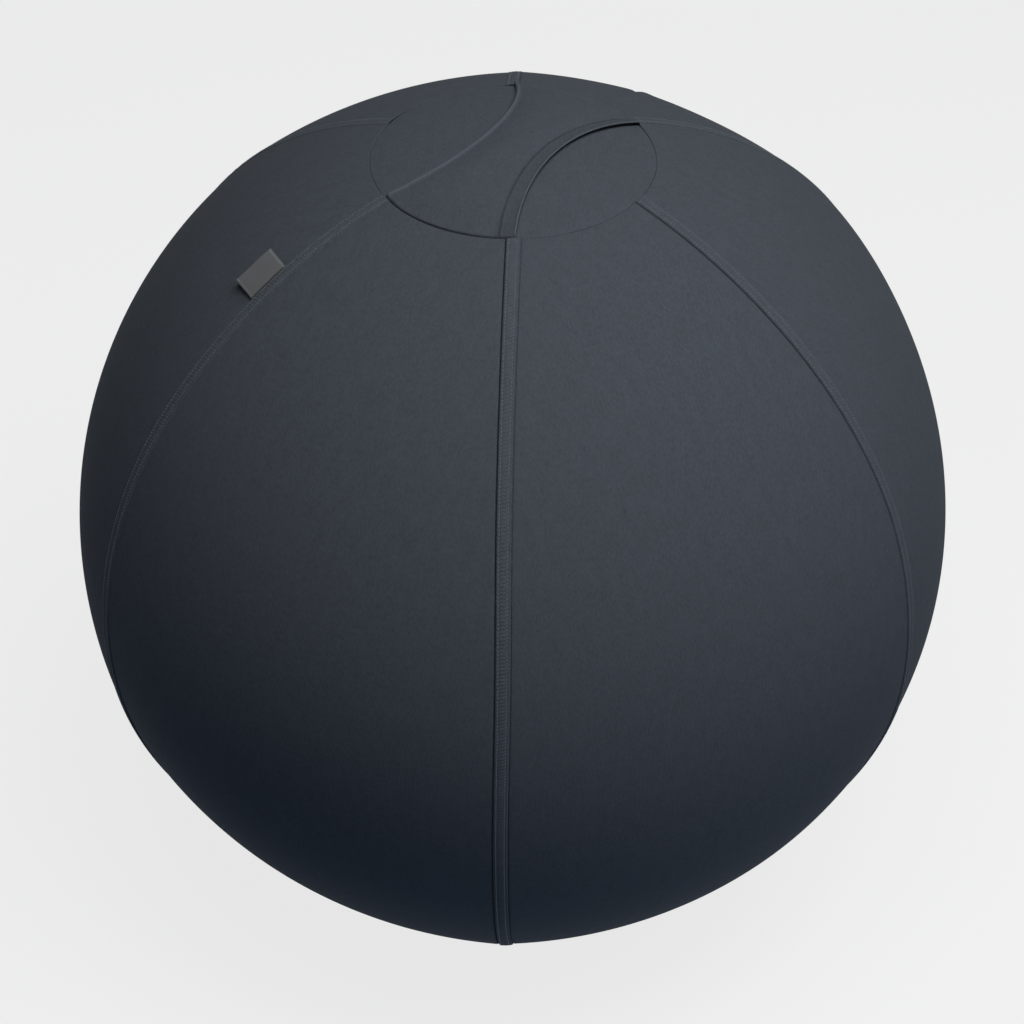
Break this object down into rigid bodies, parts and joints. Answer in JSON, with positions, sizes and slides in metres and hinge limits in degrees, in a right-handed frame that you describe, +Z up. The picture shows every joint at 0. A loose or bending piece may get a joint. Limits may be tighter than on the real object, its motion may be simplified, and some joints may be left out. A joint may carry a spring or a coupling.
{
  "type": "balance ball chair",
  "caption": "Inflated sitting ball in a panelled fabric cover with a carry handle, a flat weighted base and a ring zip.",
  "frame": {"origin": "on the floor under the middle of the ball", "axes": "+Z up, the front seam and the handle's front end towards -Y, +X to the sitter's right seen from the front"},
  "size_m": [0.6468, 0.6568, 0.6452],
  "materials": {
    "cover_fabric": "matte",
    "handle_fabric": "matte",
    "lining": "matte",
    "webbing": "matte",
    "base_fabric": "matte",
    "sole_rubber": "matte",
    "pouch_cloth": "matte",
    "ball_vinyl": "satin",
    "valve_vinyl": "satin",
    "plug_plastic": "satin",
    "zip_tape": "matte",
    "zip_teeth": "satin",
    "zip_metal": "satin",
    "label_ribbon": "satin"
  },
  "bodies": {
    "root": {"cover_panel_front_right": "cover_fabric", "cover_panel_right": "cover_fabric", "cover_panel_back_right": "cover_fabric", "cover_panel_back_left": "cover_fabric", "cover_panel_left": "cover_fabric", "cover_panel_front_left": "cover_fabric", "top_disc": "cover_fabric", "base_panel": "base_fabric", "grip_sole": "sole_rubber", "ballast_pouch_1": "pouch_cloth", "ballast_pouch_2": "pouch_cloth", "ballast_pouch_3": "pouch_cloth", "ballast_pouch_4": "pouch_cloth", "ballast_pouch_5": "pouch_cloth", "ballast_pouch_6": "pouch_cloth", "inner_ball": "ball_vinyl", "valve_seat": "valve_vinyl", "valve_plug": "plug_plastic", "zip_tape_cover": "zip_tape", "zip_tape_base": "zip_tape", "zip_teeth_cover": "zip_teeth", "zip_teeth_base": "zip_teeth", "zip_top_stops": "zip_teeth", "zip_bottom_stop": "zip_teeth", "label_tag": "label_ribbon"},
    "handle": {"handle_core": "webbing", "handle_strap": "handle_fabric", "handle_lining": "lining"},
    "slider": {"zip_slider": "zip_metal"},
    "pull": {"zip_pull": "zip_metal"}
  },
  "joints": [
    {"name": "handle_lift", "type": "slide", "parent": "root", "child": "handle", "axis": [0, 0, 1], "range_m": [0, 0.025], "deforming": ["handle_strap", "handle_lining"]},
    {"name": "zip_slide", "type": "hinge", "parent": "root", "child": "slider", "pos_m": [0, 0, 0], "axis": [0, 0, 1], "range_deg": [-295, 0], "deforming": ["zip_teeth_cover", "zip_teeth_base"]},
    {"name": "pull_swing", "type": "hinge", "parent": "slider", "child": "pull", "pos_m": [0.07608, 0.13178, 0.02472], "axis": [0.4308, 0.7462, 0.5075], "range_deg": [-85, 85]}
  ]
}
